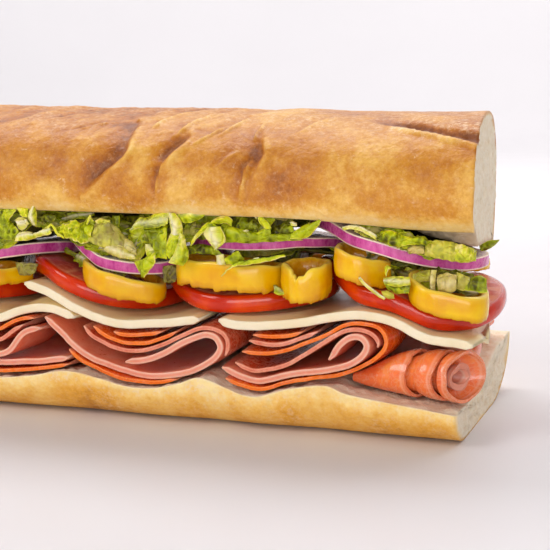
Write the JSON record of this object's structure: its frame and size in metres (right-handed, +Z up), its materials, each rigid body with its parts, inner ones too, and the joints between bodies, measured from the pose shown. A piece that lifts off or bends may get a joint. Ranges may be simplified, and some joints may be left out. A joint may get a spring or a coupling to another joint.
{
  "type": "submarine sandwich",
  "caption": "Cut length of a submarine sandwich: crusty white loaf with folded sliced meats, cheese, tomato, pickled pepper rings, red onion and shredded lettuce",
  "frame": {"origin": "centre of the bounding box at the bottom, where the loaf rests on the table", "axes": "+X runs along the loaf from its rounded heel to its cut end, -Y faces the viewer at the open side that shows the filling, +Z is up"},
  "size_m": [0.1976, 0.085, 0.0883],
  "materials": {
    "bread_bottom": "matt baked crust, paler than the top, with white crumb on the cut faces",
    "bread_top": "baked crust, satin, wrinkled, golden brown, with white crumb on the cut faces",
    "cheese": "soft, slightly translucent, satin",
    "cured": "oily, glossy, with fat marbling",
    "ham": "moist, satin",
    "lettuce": "crisp, satin, slightly translucent",
    "onion": "moist, satin, purple rim and whiter flesh",
    "pepper": "wet, glossy",
    "salami": "moist, satin, marbled",
    "tomato": "wet and glossy skin, moist flesh"
  },
  "bodies": {
    "root": {"bread_bottom": "bread_bottom", "bread_top": "bread_top", "cheese_1": "cheese", "cheese_2": "cheese", "cheese_3": "cheese", "cured_1": "cured", "cured_2": "cured", "cured_3": "cured", "cured_4": "cured", "cured_5": "cured", "cured_6": "cured", "cured_7": "cured", "cured_8": "cured", "ham_1": "ham", "ham_2": "ham", "ham_3": "ham", "ham_4": "ham", "ham_5": "ham", "lettuce_lower_1": "lettuce", "lettuce_lower_2": "lettuce", "lettuce_upper_1": "lettuce", "lettuce_upper_2": "lettuce", "onion_1": "onion", "onion_2": "onion", "onion_3": "onion", "onion_4": "onion", "pepper_1": "pepper", "pepper_10": "pepper", "pepper_11": "pepper", "pepper_2": "pepper", "pepper_3": "pepper", "pepper_4": "pepper", "pepper_5": "pepper", "pepper_6": "pepper", "pepper_7": "pepper", "pepper_8": "pepper", "pepper_9": "pepper", "roll_cured_1": "cured", "roll_cured_2": "cured", "roll_cured_3": "cured", "roll_ham": "ham", "salami_1": "salami", "salami_2": "salami", "salami_3": "salami", "salami_4": "salami", "tomato_1": "tomato", "tomato_2": "tomato", "tomato_3": "tomato", "tomato_4": "tomato"}
  },
  "joints": []
}
